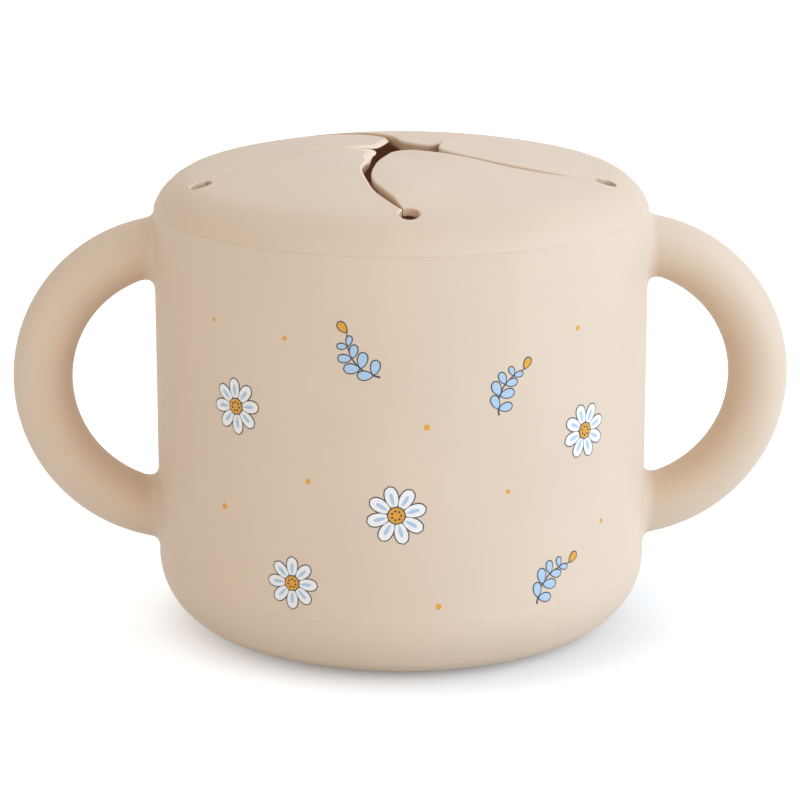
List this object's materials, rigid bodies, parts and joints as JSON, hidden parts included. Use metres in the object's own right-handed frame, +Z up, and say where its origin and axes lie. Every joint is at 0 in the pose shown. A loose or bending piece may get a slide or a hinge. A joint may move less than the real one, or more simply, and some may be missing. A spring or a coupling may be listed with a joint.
{
  "type": "toddler snack cup",
  "caption": "Soft silicone snack cup with loop handles at both sides and a push-on domed lid whose pinwheel flaps bend so that a small hand can reach in.",
  "frame": {"origin": "middle of the foot ring, on the surface that the cup stands on", "axes": "+Z up through the cup and the lid; the two handles lie along X; -Y is the side seen from the front"},
  "size_m": [0.1364, 0.086, 0.0848],
  "materials": {
    "silicone": "matte, warm beige food-grade silicone"
  },
  "bodies": {
    "cup": {"cup": "silicone", "handle_left": "silicone", "handle_right": "silicone"},
    "lid": {"lid": "silicone"},
    "flap_front_right": {"flap_front_right": "silicone"},
    "flap_right": {"flap_right": "silicone"},
    "flap_back": {"flap_back": "silicone"},
    "flap_left": {"flap_left": "silicone"},
    "flap_front_left": {"flap_front_left": "silicone"}
  },
  "joints": [
    {"name": "lid_lift", "type": "slide", "parent": "cup", "child": "lid", "axis": [0, 0, 1], "range_m": [0, 0.05]},
    {"name": "flap_front_right_bend", "type": "hinge", "parent": "lid", "child": "flap_front_right", "pos_m": [0.01742, -0.02354, 0.08038], "axis": [0.8039, 0.5948, 0], "range_deg": [-60, 35], "stiffness_Nm_per_rad": 0.02},
    {"name": "flap_right_bend", "type": "hinge", "parent": "lid", "child": "flap_right", "pos_m": [0.02777, 0.00929, 0.08038], "axis": [-0.3173, 0.9483, 0], "range_deg": [-60, 35], "stiffness_Nm_per_rad": 0.02},
    {"name": "flap_back_bend", "type": "hinge", "parent": "lid", "child": "flap_back", "pos_m": [-0.00026, 0.02929, 0.08038], "axis": [-1, -0.0087, 0], "range_deg": [-60, 35], "stiffness_Nm_per_rad": 0.02},
    {"name": "flap_left_bend", "type": "hinge", "parent": "lid", "child": "flap_left", "pos_m": [-0.02793, 0.00881, 0.08038], "axis": [-0.3007, -0.9537, 0], "range_deg": [-60, 35], "stiffness_Nm_per_rad": 0.02},
    {"name": "flap_front_left_bend", "type": "hinge", "parent": "lid", "child": "flap_front_left", "pos_m": [-0.01701, -0.02384, 0.08038], "axis": [0.8141, -0.5807, 0], "range_deg": [-60, 35], "stiffness_Nm_per_rad": 0.02}
  ]
}
